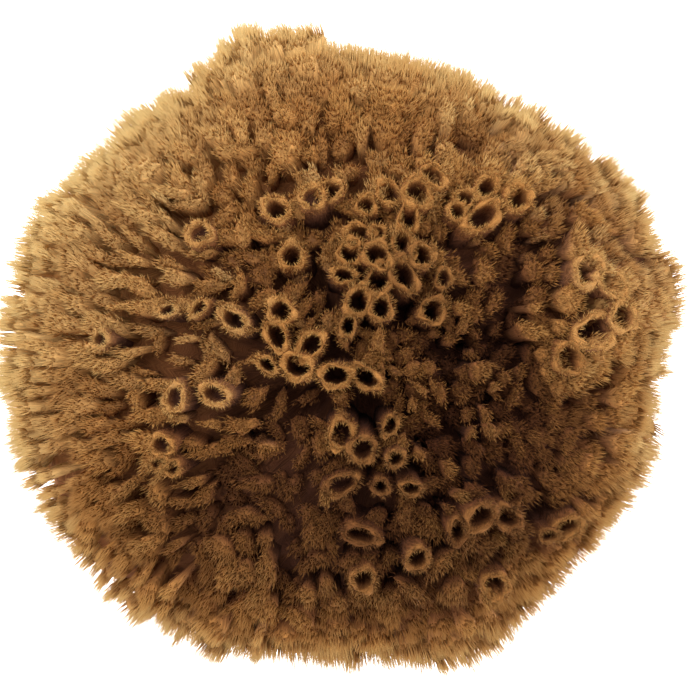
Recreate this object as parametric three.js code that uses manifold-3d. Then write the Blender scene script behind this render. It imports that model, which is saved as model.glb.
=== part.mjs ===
// A natural bath sponge: one soft bun of fused tufts, with the sponge's outlet tubes opening
// on its crown, cut off flat where it grew on the rock. It is one piece, so it is one solid.
// Millimetres, +Z up, the origin in the middle of the flat cut. Seen from above, +X is to the
// right and +Y is up.

import * as THREE from "three";
import { mergeVertices } from "three/addons/utils/BufferGeometryUtils.js";
import Module from "manifold-3d";

const wasm = await Module();
wasm.setup();

// Driving dimensions of the bun
const WAIST_HEIGHT = 38; // the widest outline, above the cut
const CROWN_HEIGHT = 95; // the tips at the top
const CUT_SHARE = 0.78; // the cut's outline, as a share of the waist's
const DOME_FULLNESS = 0.88; // 1 is an elliptic dome, less is fuller
// The reach of the tufts round the waist, every 10 degrees, anticlockwise from +X
const OUTLINE = [
  81.5, 89, 85.5, 85, 82, 79, 77, 77, 76.5, 77.5, 84, 85.5, 81.5, 81.5, 83, 86, 88, 88,
  89, 89, 90.5, 90, 89.5, 89, 86.5, 85, 82, 80.5, 82, 87, 84.5, 81.5, 81, 83, 83, 81,
];
const MEAN_REACH = 85; // the reach that the skin's area is measured at
const MIDDLE_HEIGHT = 30; // the point that the tufts fan away from

// Tufts: short fused columns that stand on the heart and fan out like a brush
const DOME_TUFTS = 123; // if no tube took their place
const SIDE_DENSITY = 0.36; // tufts below the waist stand wider apart than on the dome
const TUFT_SIDES = 5;
const TUFT_LENGTH = 22; // from its root in the heart to its tip
const TUFT_TIP_RADIUS = 7.6;
const TUFT_ROOT_RADIUS = 6;
const TUFT_SHOULDER = 0.78; // where the tip begins to round, as a share of the length
const SIDE_TUFT_WIDTH = 1.4; // below the waist, against the dome's
const TUFT_FAN = 0.6; // 0 stands square on the skin, 1 points away from the bun's middle
const TUFT_LEAN = 0.16; // the most that a tuft strays from that direction
const TUFT_TURN = 0.15; // the most that a tuft strays round the bun, in radians
const TUFT_SPREAD = 0.15; // the most that a tuft's width differs, as a share
const TIP_STRAY = 5; // the most that a tip falls short of the skin
const WAIST_BAND = 14; // within this of the waist the tips stray less
const WAIST_EVENNESS = 0.7; // the share of the stray that is lost there
const HEART_DEPTH = 7; // from the skin down to the heart that the tufts stand on

// Hollows where the tufts fall short of the skin, and swells where they rise above it.
// Each is [x, y, radius, depth] in plan; a swell's depth is negative.
const HOLLOWS = [
  [-7, 17, 7, 8],
  [14.5, 11, 6, 9],
  [3.5, -14.5, 7, 10],
  [-12, -11, 6, 8],
  [25, 1.5, 8, 9],
  [50, 27, 6, 9],
  [45, 15, 7, 10],
  [44, 4, 6, 9],
  [31, -12, 7, 8],
  [21, -22, 7, 8],
  [-25, -21, 8, 7],
  [-36, -36, 7, 6],
  [8, 25, 15, -4],
  [62, 12, 14, -7],
  [32, -41, 9, -4],
];
// Black pits at the bottom of the deepest hollows: [x, y, radius] in plan
const PITS = [
  [-7, 16.5, 3.2], [14.5, 12, 2.8], [4, -13, 3.2], [4.5, -17.5, 3], [-12.5, -10, 2.2],
  [25, -1, 2.6], [32, -12, 2.6], [46, 17, 3], [46, 4, 2.6], [27.5, 25, 2.2],
];
const PIT_DEPTH = 20;

// Outlet tubes: [x, y, bore radius] of each mouth in plan
const TUBE_SIDES = 6;
const TUBE_WALL = 1.8;
const TUBE_FLARE = 1.1; // a tube's foot, against its mouth
const TUBE_LENGTH = 24;
const TUBE_BORE_DEPTH = 15;
const BORE_TAPER = 0.7; // a bore's blind end, as a share of its mouth
const TUBE_UPRIGHT = 0.55; // 0 leans as the tufts do, 1 points straight up
const MOUTH_SINK = 0.4; // a mouth follows the hollows and swells by this share
const TUBE_STEP = 3; // mouths differ in height by up to this
const TUFT_ROOM = 2.2; // the least between a tube's wall and the axis of the nearest tuft
const TUBES = [
  // the cluster on the crown
  [2, 12, 2.2], [7.5, 10.3, 1.7], [7, 17.2, 2.5], [13, 18.6, 2.7], [0, 24, 1.8],
  [6.6, 23.1, 2.1], [13, 25.7, 2.2], [17.5, 23.1, 1.7], [2.1, 28, 2.1], [9.5, 38.4, 1.9],
  [16.4, 38.4, 2.6], [14.3, 32.4, 2], [20.3, 42.5, 1.9],
  // up and to the right of it
  [32.5, 32.7, 3], [33.4, 39.8, 1.6], [41.2, 37.3, 2.1], [20.3, 9.7, 1.9],
  // on the swell at the right
  [58.3, 19.4, 2.2], [64, 16.4, 2], [60.2, 4.5, 3], [53.7, -2.2, 2.2],
  // left of the cluster
  [-5.1, 39, 1.5], [-9.1, 37.3, 1.5], [-18.1, 34.3, 1.7], [-16.9, 9.5, 1.9], [-18, 3.4, 2],
  [-9.7, 1, 2.2], [-12.9, -4, 2.3], [-3.5, -6.3, 2.2], [3.9, -6.7, 2], [-28.4, 7.3, 1.7],
  [-36.8, 28.4, 1.7], [-42.8, -11.7, 1.7], [-33, -10.8, 1.9], [-46, -23.3, 1.5],
  // below the cluster
  [-2.1, -20.7, 2.2], [3.1, -24.3, 2], [-2.1, -32.9, 2.2], [31.9, -40.9, 2.5],
  [38.8, -41.1, 1.9], [26.5, -44.1, 1.7], [2.7, -45.2, 2.3], [53.7, -43.9, 1.7],
  [35.8, -58.3, 2.1], [3.3, -56.4, 1.9], [16.5, -51, 1.7],
];

const SPONGE_TAN = "#a37a48";
const UP = new THREE.Vector3(0, 0, 1);
const LATHE_AXIS = new THREE.Vector3(0, 1, 0);
const BUN_MIDDLE = new THREE.Vector3(0, 0, MIDDLE_HEIGHT);
const GOLDEN_ANGLE = Math.PI * (3 - Math.sqrt(5));
const DOME_HEIGHT = CROWN_HEIGHT - WAIST_HEIGHT;

// A repeatable number from 0 to 1 for the given item and purpose.
function chance(item, purpose) {
  const wave = Math.sin(item * 12.9898 + purpose * 78.233) * 43758.5453;
  return wave - Math.floor(wave);
}

// Reach of the waist at an azimuth: a smooth closed curve through OUTLINE.
function reachAt(azimuth) {
  const count = OUTLINE.length;
  const place = THREE.MathUtils.euclideanModulo((azimuth / (2 * Math.PI)) * count, count);
  const first = Math.floor(place);
  const f = place - first;
  const [a, b, c, d] = [-1, 0, 1, 2].map((k) => OUTLINE[(first + k + count) % count]);
  const cubic = 3 * (b - c) + d - a;
  return b + 0.5 * f * (c - a + f * (2 * a - 5 * b + 4 * c - d + f * cubic));
}

// The bun's half profile from the crown down to the cut: radius as a share of the reach, and height.
function halfProfile(steps) {
  const dome = Array.from({ length: steps }, (_, i) => {
    const angle = ((i / steps) * Math.PI) / 2;
    return {
      share: Math.sin(angle) ** DOME_FULLNESS,
      height: WAIST_HEIGHT + DOME_HEIGHT * Math.cos(angle) ** DOME_FULLNESS,
      density: 1,
    };
  });
  const side = Array.from({ length: steps }, (_, i) => {
    const drop = i / (steps - 1);
    return {
      share: 1 - (1 - CUT_SHARE) * drop ** 2,
      height: WAIST_HEIGHT * (1 - drop),
      density: SIDE_DENSITY,
    };
  });
  return [...dome, ...side];
}

// Height of the dome's skin above a point in plan.
function domeHeight(x, y) {
  const share = Math.min(1, Math.hypot(x, y) / reachAt(Math.atan2(y, x)));
  const sine = share ** (1 / DOME_FULLNESS);
  return WAIST_HEIGHT + DOME_HEIGHT * Math.sqrt(1 - sine ** 2) ** DOME_FULLNESS;
}

// How far the tips fall short of the skin near the named hollows and swells.
function hollowDepth(x, y) {
  return HOLLOWS.reduce((sum, [hx, hy, radius, depth]) => {
    const near = ((x - hx) ** 2 + (y - hy) ** 2) / radius ** 2;
    return sum + depth * Math.exp(-near);
  }, 0);
}

// Direction of a tuft at a point of the skin: between the skin's normal and the bun's middle.
function fanDirection(point, normal) {
  const away = point.clone().sub(BUN_MIDDLE).normalize();
  return normal.clone().lerp(away, TUFT_FAN).normalize();
}

// The normal of the dome's skin above a point in plan, from its slope along the way out.
function domeNormal(x, y) {
  const STEP = 0.5;
  const out = Math.max(Math.hypot(x, y), STEP);
  const further = (out + STEP) / out;
  const rise = domeHeight(x * further, y * further) - domeHeight(x, y);
  return new THREE.Vector3((-rise * x) / out, (-rise * y) / out, STEP).normalize();
}

// Places on the skin, spread by a golden spiral so that each has an equal share of its area.
function spreadOnSkin(domeCount) {
  const PROFILE_STEPS = 90;
  const profile = halfProfile(PROFILE_STEPS);
  const areas = [0];
  for (let i = 1; i < profile.length; i++) {
    const [p, q] = [profile[i - 1], profile[i]];
    const width = Math.hypot((q.share - p.share) * MEAN_REACH, q.height - p.height);
    areas.push(areas[i - 1] + width * (p.share + q.share) * q.density);
  }
  const waist = profile.findIndex((p) => p.density < 1);
  const count = Math.round((domeCount * areas.at(-1)) / areas[waist]);
  return Array.from({ length: count }, (_, i) => {
    const wanted = (areas.at(-1) * (i + 0.5)) / count;
    const after = areas.findIndex((area) => area >= wanted);
    const [p, q] = [profile[after - 1], profile[after]];
    const f = (wanted - areas[after - 1]) / (areas[after] - areas[after - 1]);
    const azimuth = i * GOLDEN_ANGLE + TUFT_TURN * (2 * chance(i, 1) - 1);
    const out = new THREE.Vector3(Math.cos(azimuth), Math.sin(azimuth), 0);
    const reach = reachAt(azimuth) * THREE.MathUtils.lerp(p.share, q.share, f);
    const point = out.clone().multiplyScalar(reach);
    point.z = THREE.MathUtils.lerp(p.height, q.height, f);
    const normal = out.multiplyScalar(p.height - q.height);
    normal.addScaledVector(UP, (q.share - p.share) * MEAN_REACH).normalize();
    return { item: i, point, normal, onDome: after < waist };
  });
}

// A three.js geometry as a solid that can be joined and cut.
function solidOf(geometry) {
  const bare = new THREE.BufferGeometry();
  bare.setAttribute("position", geometry.getAttribute("position"));
  bare.setIndex(geometry.index);
  const merged = mergeVertices(bare, 1e-4);
  const corners = merged.index.array;
  const triVerts = [];
  for (let i = 0; i < corners.length; i += 3) {
    const [a, b, c] = corners.subarray(i, i + 3);
    if (a !== b && b !== c && c !== a) triVerts.push(a, b, c);
  }
  return new wasm.Manifold(
    new wasm.Mesh({
      numProp: 3,
      vertProperties: merged.getAttribute("position").array,
      triVerts: new Uint32Array(triVerts),
    }),
  );
}

// A solid back as a three.js geometry.
function geometryOf(solid) {
  const { vertProperties, triVerts } = solid.getMesh();
  const geometry = new THREE.BufferGeometry();
  geometry.setAttribute("position", new THREE.BufferAttribute(vertProperties, 3));
  geometry.setIndex(new THREE.BufferAttribute(triVerts, 1));
  geometry.computeVertexNormals();
  return geometry;
}

// A turned column whose [radius, height] profile stands on a root point along a direction.
function turnedColumn(profile, sides, root, direction, twist = 0) {
  const points = profile.map(([radius, height]) => new THREE.Vector2(radius, height));
  const column = new THREE.LatheGeometry(points, sides);
  column.rotateY(twist);
  column.applyQuaternion(new THREE.Quaternion().setFromUnitVectors(LATHE_AXIS, direction));
  column.translate(root.x, root.y, root.z);
  return solidOf(column);
}

// The heart: the bun drawn in by the length of tuft that shows.
function makeHeart() {
  const HEART_STEPS = 3;
  const HEART_SIDES = 14;
  const profile = halfProfile(HEART_STEPS).map(({ share, height }) => {
    const inward = 1 - HEART_DEPTH / MEAN_REACH;
    const lowered = height - HEART_DEPTH * Math.max(0, (height - WAIST_HEIGHT) / DOME_HEIGHT);
    return new THREE.Vector2(share * MEAN_REACH * inward, lowered);
  });
  const heart = new THREE.LatheGeometry([...profile, new THREE.Vector2(0, 0)].reverse(), HEART_SIDES);
  heart.rotateX(Math.PI / 2);
  const place = heart.getAttribute("position");
  for (let i = 0; i < place.count; i++) {
    const [x, y] = [place.getX(i), place.getY(i)];
    const wider = reachAt(Math.atan2(y, x)) / MEAN_REACH;
    place.setXY(i, x * wider, y * wider);
  }
  return solidOf(heart);
}

// Where each tube's mouth is, and which way it points.
function placeBores(list, depth) {
  return list.map(([x, y, bore], i) => {
    const mouth = new THREE.Vector3(x, y, domeHeight(x, y));
    const direction = fanDirection(mouth, domeNormal(x, y)).lerp(UP, TUBE_UPRIGHT).normalize();
    mouth.z -= MOUTH_SINK * hollowDepth(x, y) + TUBE_STEP * chance(i, 7);
    return { mouth, direction, bore, depth };
  });
}

function makeTube({ mouth, direction, bore }, i) {
  const outer = bore + TUBE_WALL;
  const root = mouth.clone().addScaledVector(direction, -TUBE_LENGTH);
  const profile = [
    [0, 0],
    [outer * TUBE_FLARE, 0],
    [outer, TUBE_LENGTH],
    [0, TUBE_LENGTH],
  ];
  return turnedColumn(profile, TUBE_SIDES, root, direction, i);
}

function makeBore({ mouth, direction, bore, depth }, i) {
  const ABOVE = 3;
  const root = mouth.clone().addScaledVector(direction, -depth);
  const profile = [
    [0, 0],
    [bore * BORE_TAPER, 0],
    [bore, depth + ABOVE],
    [0, depth + ABOVE],
  ];
  return turnedColumn(profile, TUBE_SIDES, root, direction, i);
}

// How far a tip falls short by itself: little at the waist, where the tips make an even outline.
function tipStray(item, height) {
  const nearWaist = Math.exp(-(((height - WAIST_HEIGHT) / WAIST_BAND) ** 2));
  return TIP_STRAY * chance(item, 4) ** 2 * (1 - WAIST_EVENNESS * nearWaist);
}

// One tuft, or nothing where a tube stands in its place.
function makeTuft({ item, point, normal, onDome }, tubes) {
  const direction = fanDirection(point, normal);
  direction.x += TUFT_LEAN * (2 * chance(item, 2) - 1);
  direction.y += TUFT_LEAN * (2 * chance(item, 3) - 1);
  direction.normalize();
  const short = tipStray(item, point.z) + (onDome ? hollowDepth(point.x, point.y) : 0);
  const tip = point.clone().addScaledVector(direction, -short);
  const rooms = tubes.map(({ mouth, bore }) => {
    return Math.hypot(mouth.x - tip.x, mouth.y - tip.y) - bore - TUBE_WALL;
  });
  const room = onDome ? Math.min(...rooms) : TUFT_TIP_RADIUS;
  if (room < TUFT_ROOM) return [];
  const usual = (onDome ? 1 : SIDE_TUFT_WIDTH) * (1 + TUFT_SPREAD * (2 * chance(item, 5) - 1));
  const wide = onDome ? Math.min(usual, room / TUFT_TIP_RADIUS) : usual;
  const root = tip.clone().addScaledVector(direction, -TUFT_LENGTH);
  const profile = [
    [0, 0],
    [TUFT_ROOT_RADIUS * wide, 0],
    [TUFT_TIP_RADIUS * wide, TUFT_LENGTH * TUFT_SHOULDER],
    [0, TUFT_LENGTH],
  ];
  return [turnedColumn(profile, TUFT_SIDES, root, direction, 2 * Math.PI * chance(item, 6))];
}

// What lies under the plane of the cut.
function makeRock() {
  const SIZE = 4 * MEAN_REACH;
  const rock = new THREE.BoxGeometry(SIZE, SIZE, SIZE);
  rock.translate(0, 0, -SIZE / 2);
  return solidOf(rock);
}

function makeSponge() {
  const tubes = placeBores(TUBES, TUBE_BORE_DEPTH);
  const pits = placeBores(PITS, PIT_DEPTH);
  const tufts = spreadOnSkin(DOME_TUFTS).flatMap((place) => makeTuft(place, tubes));
  const grown = wasm.Manifold.union([makeHeart(), ...tufts, ...tubes.map(makeTube)]);
  const opened = grown.subtract(wasm.Manifold.union([...tubes, ...pits].map(makeBore)));
  const cut = opened.subtract(makeRock());
  const material = new THREE.MeshStandardMaterial({
    color: SPONGE_TAN,
    roughness: 0.95,
    metalness: 0,
  });
  const sponge = new THREE.Mesh(geometryOf(cut), material);
  sponge.name = "sponge";
  return sponge;
}

const seaSponge = new THREE.Group();
seaSponge.add(makeSponge());
export default seaSponge;
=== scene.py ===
# A dry natural bath sponge: one soft bun of fibrous tufts with the outlet tubes open on its crown.
# Sizes are in millimetres, as in the part's source, and become metres when a mesh is made.
import bpy
import numpy as np
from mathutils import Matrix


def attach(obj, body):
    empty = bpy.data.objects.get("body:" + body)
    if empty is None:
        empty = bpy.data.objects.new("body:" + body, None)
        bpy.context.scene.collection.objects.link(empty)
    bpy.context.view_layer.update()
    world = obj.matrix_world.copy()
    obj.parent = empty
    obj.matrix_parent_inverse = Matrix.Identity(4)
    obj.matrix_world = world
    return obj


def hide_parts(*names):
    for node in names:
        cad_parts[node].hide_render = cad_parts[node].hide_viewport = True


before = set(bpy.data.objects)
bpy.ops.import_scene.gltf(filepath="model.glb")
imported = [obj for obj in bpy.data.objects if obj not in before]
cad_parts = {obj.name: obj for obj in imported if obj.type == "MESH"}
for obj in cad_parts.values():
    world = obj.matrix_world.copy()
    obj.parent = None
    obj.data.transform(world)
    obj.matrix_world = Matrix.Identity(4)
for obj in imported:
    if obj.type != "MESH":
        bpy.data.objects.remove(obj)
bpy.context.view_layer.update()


# The heart: the close dark web that the tufts and tubes grew out from, one with them in life.
# The bun's skin, which their tips reach up to, is worked out here first, because everything else
# stands between this heart and that skin. It is the same bun as the solid's.
MM = 0.001
# the bun's widest part and its top, and its width at the flat cut as a share of the widest
WAIST_HEIGHT = 38.0
CROWN_HEIGHT = 95.0
DOME_HEIGHT = CROWN_HEIGHT - WAIST_HEIGHT
CUT_SHARE = 0.78
# how close the dome comes to an ellipse: 1 is one, and less is fuller
DOME_FULLNESS = 0.88
# reach of the widest part every ten degrees, anticlockwise from the right
OUTLINE = np.array([
    81.5, 89, 85.5, 85, 82, 79, 77, 77, 76.5, 77.5, 84, 85.5, 81.5, 81.5, 83, 86, 88, 88,
    89, 89, 90.5, 90, 89.5, 89, 86.5, 85, 82, 80.5, 82, 87, 84.5, 81.5, 81, 83, 83, 81,
])
MEAN_REACH = 85.0
BUN_MIDDLE = np.array([0.0, 0.0, 30.0])
# how deep the heart lies under the skin, and less at the waist
HEART_DEPTH = 17.0
WAIST_DEPTH = 9.0
HEART_BAND = 14.0
LOW_BAND = 15.0
HEART_RINGS = 30
HEART_SIDES = 180
# its knobs
HEART_KNOB = 2.2
KNOB_WAVE = 0.8
KNOB_SWAY = 0.27
KNOB_BEND = 1.5
# how felted the growth is, from the lower right to the upper left
FELT_MIDDLE = 0.33
FELT_SLOPE = 120.0
FELT_FULL = 60.0
# [x, y, radius] of the felted swell and of the two parts that look like coral
FELT_SWELL = (63, 5, 15)
CORAL_RIGHT = (30, 0, 38)
CORAL_UPPER = (45, 47, 20)
# tones and shades of the heart, partly its own brown and partly painted shade of the deep gaps
# and what felt and coral add or take: painted light under the lit felt, painted shade under the coral
HEART_TONE = 0.24
HEART_CORAL_TONE = 0.22
HEART_FELT_TONE = 0.36
HEART_LOW_TONE = 0.4
HEART_TONE_RANGE = 0.05
HEART_SHADE = 0.08
HEART_FELT_SHADE = 0.42
HEART_LOW_SHADE = 0.2
HEART_SHADE_RANGE = 0.1
# [x, y, radius, depth] of the hollows where tips fall short of the skin; swells are negative
HOLLOWS = np.array([
    [-7, 17, 7, 8], [14.5, 11, 6, 9], [3.5, -14.5, 7, 10], [-12, -11, 6, 8], [25, 1.5, 8, 9],
    [46, 27, 5, 8], [42, 15, 6, 9], [40, 4, 6, 8], [31, -12, 7, 8], [21, -22, 7, 8],
    [-25, -21, 8, 7], [-36, -36, 7, 6], [8, 25, 15, -4], [62, 10, 15, -7], [32, -41, 9, -4],
    [-10, 36, 9, -4], [-16, 25, 8, 6], [-37, -12, 9, -4], [39, 62, 4, 8], [49, 52, 4, 8],
    [30, 54, 4, 8], [60, 40, 4, 8], [20, 64, 4, 7], [52, 38, 4, 8],
])


def chance(item, purpose):
    """A repeatable number from 0 to 1: the fraction left by a fast sine of item and purpose."""
    wave = np.sin(item * 12.9898 + purpose * 78.233) * 43758.5453
    return wave - np.floor(wave)


def unit(vectors):
    """Vectors divided by their lengths."""
    return vectors / np.linalg.norm(vectors, axis=-1, keepdims=True)


def reach_at(azimuth):
    """Reach of the waist at an azimuth: a cubic through the four nearest radii of the outline."""
    place = (azimuth / (2 * np.pi) * len(OUTLINE)) % len(OUTLINE)
    first = np.floor(place).astype(int)
    f = place - first
    a, b, c, d = (OUTLINE[(first + k) % len(OUTLINE)] for k in (-1, 0, 1, 2))
    cubic = 3 * (b - c) + d - a
    return b + 0.5 * f * (c - a + f * (2 * a - 5 * b + 4 * c - d + f * cubic))


def half_profile(steps):
    """The bun from crown to cut: a full quarter ellipse down to the waist, then a parabola inwards.
    Radius as a share of the reach, and height."""
    angle = np.arange(steps) / steps * np.pi / 2
    drop = np.arange(steps) / (steps - 1)
    share = np.concatenate([np.sin(angle) ** DOME_FULLNESS, 1 - (1 - CUT_SHARE) * drop ** 2])
    height = np.concatenate([
        WAIST_HEIGHT + DOME_HEIGHT * np.cos(angle) ** DOME_FULLNESS, WAIST_HEIGHT * (1 - drop),
    ])
    return share, height


def dome_height(x, y):
    """Height of the dome's skin above a point in plan: the same ellipse, solved for height."""
    share = np.minimum(1, np.hypot(x, y) / reach_at(np.arctan2(y, x)))
    cosine = np.sqrt(1 - share ** (2 / DOME_FULLNESS))
    return WAIST_HEIGHT + DOME_HEIGHT * cosine ** DOME_FULLNESS


def hollow_depth(x, y):
    """How far tips fall short of the skin: the sum of a bell curve for each hollow."""
    hx, hy, radius, depth = HOLLOWS.T
    near = ((x[:, None] - hx) ** 2 + (y[:, None] - hy) ** 2) / radius ** 2
    return (depth * np.exp(-near)).sum(axis=1)


def bell(points, x, y, radius):
    """A bell curve in plan: 1 at x and y, and 1 / e at the radius."""
    return np.exp(-((points[:, 0] - x) ** 2 + (points[:, 1] - y) ** 2) / radius ** 2)


def felted(points):
    """How closely the growth is felted: 1 on the fluffy upper left, falling in a straight line to 0
    towards the lower right and again towards the crown, or a bell curve on the swell if more."""
    slope = np.clip(FELT_MIDDLE + (points[:, 1] - points[:, 0]) / FELT_SLOPE, 0.0, 1.0)
    felt = slope * np.clip(np.hypot(points[:, 0], points[:, 1]) / FELT_FULL, 0.0, 1.0)
    return np.maximum(felt, bell(points, *FELT_SWELL))


def coral(points):
    """How coral-like the growth is: 1 right of the crown, where tufts are small and close together,
    and at the upper right, falling away in a bell curve from each."""
    return np.maximum(bell(points, *CORAL_RIGHT), bell(points, *CORAL_UPPER))


def ring_triangles(rings, sides):
    """Triangles of a closed skin of rings: a fan from the first vertex to the first ring, two
    triangles for each step between rings, and a fan from the last ring to the last vertex."""
    k = np.arange(sides)
    n = (k + 1) % sides
    start = 1 + np.arange(rings - 1)[:, None] * sides
    a, b, c, d = start + k, start + n, start + sides + k, start + sides + n
    top = 1 + (rings - 1) * sides
    return np.concatenate([
        np.stack([np.zeros_like(k), 1 + n, 1 + k], axis=1),
        np.stack([a, b, d], axis=-1).reshape(-1, 3),
        np.stack([a, d, c], axis=-1).reshape(-1, 3),
        np.stack([top + k, top + n, np.full_like(k, rings * sides + 1)], axis=1),
    ])


def add_piece(name, points, triangles, place, material):
    """A mesh object from points in millimetres, triangles, and a (tone, depth) place per point."""
    mesh = bpy.data.meshes.new(name)
    mesh.vertices.add(len(points))
    mesh.vertices.foreach_set("co", (points * MM).astype(np.float32).ravel())
    mesh.loops.add(triangles.size)
    mesh.loops.foreach_set("vertex_index", triangles.astype(np.int32).ravel())
    mesh.polygons.add(len(triangles))
    mesh.polygons.foreach_set("loop_start", np.arange(0, triangles.size, 3, dtype=np.int32))
    mesh.polygons.foreach_set("use_smooth", np.ones(len(triangles), dtype=bool))
    layer = mesh.uv_layers.new(name="OFBake")
    layer.data.foreach_set("uv", place[triangles].astype(np.float32).ravel())
    mesh.update(calc_edges=True)
    mesh.materials.append(material)
    piece = bpy.data.objects.new(name, mesh)
    bpy.context.collection.objects.link(piece)
    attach(piece, "root")
    return piece


# [depth, colour] from the dark root to the pale tip
# the dark low down is partly the sponge's own browner inside and partly painted shade among the tufts
DEPTH_COLOURS = [
    (0.0, (0.075, 0.028, 0.018)),
    (0.1, (0.12, 0.045, 0.023)),
    (0.35, (0.25, 0.097, 0.034)),
    (0.68, (0.48, 0.22, 0.06)),
    (1.0, (0.72, 0.4, 0.122)),
]
# what the tone multiplies the colour by, at 0, 0.5 and 1
TONE_DARK = (0.25, 0.18, 0.19, 1.0)
TONE_MIDDLE = (0.85, 0.82, 0.8, 1.0)
TONE_PALE = (1.15, 1.46, 2.0, 1.0)
STREAK_STRETCH = (260.0, 7.0, 1.0)
STREAK_MEAN = 0.98
DRY_ROUGHNESS = (0.98, 0.82)


def sponge_colour_group():
    """Colour, roughness and height of sponge from its place (tone, depth): a ramp from the dark
    root to the pale tip, lightened by the tone, with streaks that run along the fibre."""
    group = bpy.data.node_groups.new("sponge_colour", "ShaderNodeTree")
    group.interface.new_socket(name="Place", in_out="INPUT", socket_type="NodeSocketVector")
    group.interface.new_socket(name="Streak", in_out="INPUT", socket_type="NodeSocketFloat")
    group.interface.new_socket(name="Color", in_out="OUTPUT", socket_type="NodeSocketColor")
    group.interface.new_socket(name="Roughness", in_out="OUTPUT", socket_type="NodeSocketFloat")
    group.interface.new_socket(name="Height", in_out="OUTPUT", socket_type="NodeSocketFloat")
    nodes, link = group.nodes, group.links.new
    into = nodes.new("NodeGroupInput")
    out = nodes.new("NodeGroupOutput")
    split = nodes.new("ShaderNodeSeparateXYZ")
    link(into.outputs["Place"], split.inputs["Vector"])

    ramp = nodes.new("ShaderNodeValToRGB")
    ramp.color_ramp.interpolation = "EASE"
    while len(ramp.color_ramp.elements) < len(DEPTH_COLOURS):
        ramp.color_ramp.elements.new(0.5)
    for element, (position, colour) in zip(ramp.color_ramp.elements, DEPTH_COLOURS):
        element.position = position
        element.color = (*colour, 1.0)
    link(split.outputs["Y"], ramp.inputs["Fac"])

    stretch = nodes.new("ShaderNodeVectorMath")
    stretch.operation = "MULTIPLY"
    stretch.inputs[1].default_value = STREAK_STRETCH
    link(into.outputs["Place"], stretch.inputs[0])
    streak = nodes.new("ShaderNodeTexNoise")
    streak.noise_dimensions = "2D"
    streak.inputs["Scale"].default_value = 1.0
    streak.inputs["Detail"].default_value = 3.0
    link(stretch.outputs["Vector"], streak.inputs["Vector"])

    tone = nodes.new("ShaderNodeValToRGB")
    tone.color_ramp.elements[0].color = TONE_DARK
    tone.color_ramp.elements[1].color = TONE_PALE
    middle_tone = tone.color_ramp.elements.new(0.5)
    middle_tone.color = TONE_MIDDLE
    link(split.outputs["X"], tone.inputs["Fac"])
    centred = nodes.new("ShaderNodeMath")
    centred.operation = "SUBTRACT"
    centred.inputs[1].default_value = 0.5
    link(streak.outputs["Fac"], centred.inputs[0])
    shade = nodes.new("ShaderNodeMath")
    shade.operation = "MULTIPLY_ADD"
    shade.inputs[2].default_value = STREAK_MEAN
    link(centred.outputs["Value"], shade.inputs[0])
    link(into.outputs["Streak"], shade.inputs[1])
    toned = nodes.new("ShaderNodeVectorMath")
    toned.operation = "MULTIPLY"
    link(ramp.outputs["Color"], toned.inputs[0])
    link(tone.outputs["Color"], toned.inputs[1])
    streaked = nodes.new("ShaderNodeVectorMath")
    streaked.operation = "SCALE"
    link(toned.outputs["Vector"], streaked.inputs[0])
    link(shade.outputs["Value"], streaked.inputs["Scale"])
    link(streaked.outputs["Vector"], out.inputs["Color"])

    dryness = nodes.new("ShaderNodeMapRange")
    dryness.inputs["To Min"].default_value = DRY_ROUGHNESS[0]
    dryness.inputs["To Max"].default_value = DRY_ROUGHNESS[1]
    link(streak.outputs["Fac"], dryness.inputs["Value"])
    link(dryness.outputs["Result"], out.inputs["Roughness"])
    link(streak.outputs["Fac"], out.inputs["Height"])
    return group


SPONGE_COLOUR = sponge_colour_group()
DRY_SHEEN = 0.15
RELIEF_HEIGHT = 0.0004


def sponge_material(name, streak, relief):
    """Dry sponge: matt all over, with a streaky relief on what is matted together."""
    material = bpy.data.materials.new(name)
    material.use_nodes = True
    nodes, link = material.node_tree.nodes, material.node_tree.links.new
    shader = nodes["Principled BSDF"]
    shader.inputs["Specular IOR Level"].default_value = DRY_SHEEN
    place = nodes.new("ShaderNodeUVMap")
    place.uv_map = "OFBake"
    colour = nodes.new("ShaderNodeGroup")
    colour.node_tree = SPONGE_COLOUR
    colour.inputs["Streak"].default_value = streak
    link(place.outputs["UV"], colour.inputs["Place"])
    link(colour.outputs["Color"], shader.inputs["Base Color"])
    link(colour.outputs["Roughness"], shader.inputs["Roughness"])
    if relief:
        bump = nodes.new("ShaderNodeBump")
        bump.inputs["Strength"].default_value = relief
        bump.inputs["Distance"].default_value = RELIEF_HEIGHT
        link(colour.outputs["Height"], bump.inputs["Height"])
        link(bump.outputs["Normal"], shader.inputs["Normal"])
    return material


flesh = sponge_material("sponge_flesh", streak=1.7, relief=0.8)


def knobs(points):
    """Rounded knobs: the product of three waves across x, y and z, each bent by the next one."""
    bend = KNOB_BEND * np.sin(KNOB_SWAY * KNOB_WAVE * np.roll(points, -1, axis=-1))
    return np.sin(KNOB_WAVE * points + bend).prod(axis=-1)


heart_share, heart_height = half_profile(HEART_RINGS)
heart_share, heart_height = heart_share[1:, None], heart_height[1:, None]
heart_azimuth = np.arange(HEART_SIDES) / HEART_SIDES * 2 * np.pi
heart_inset = HEART_DEPTH - (HEART_DEPTH - WAIST_DEPTH) * np.exp(
    -((heart_height - WAIST_HEIGHT) / HEART_BAND) ** 2)
heart_out = heart_share * reach_at(heart_azimuth) * (1 - heart_inset / MEAN_REACH)
heart_up = heart_height - HEART_DEPTH * np.maximum(0, heart_height - WAIST_HEIGHT) / DOME_HEIGHT
heart_rings = np.stack([
    heart_out * np.cos(heart_azimuth), heart_out * np.sin(heart_azimuth),
    np.broadcast_to(heart_up, heart_out.shape),
], axis=-1)[::-1]
heart_sunk = np.maximum(0, hollow_depth(heart_rings[..., 0].ravel(), heart_rings[..., 1].ravel()))
heart_rings[..., 2] -= heart_sunk.reshape(heart_rings.shape[:2]) * (heart_rings[..., 2] > WAIST_HEIGHT)
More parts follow.
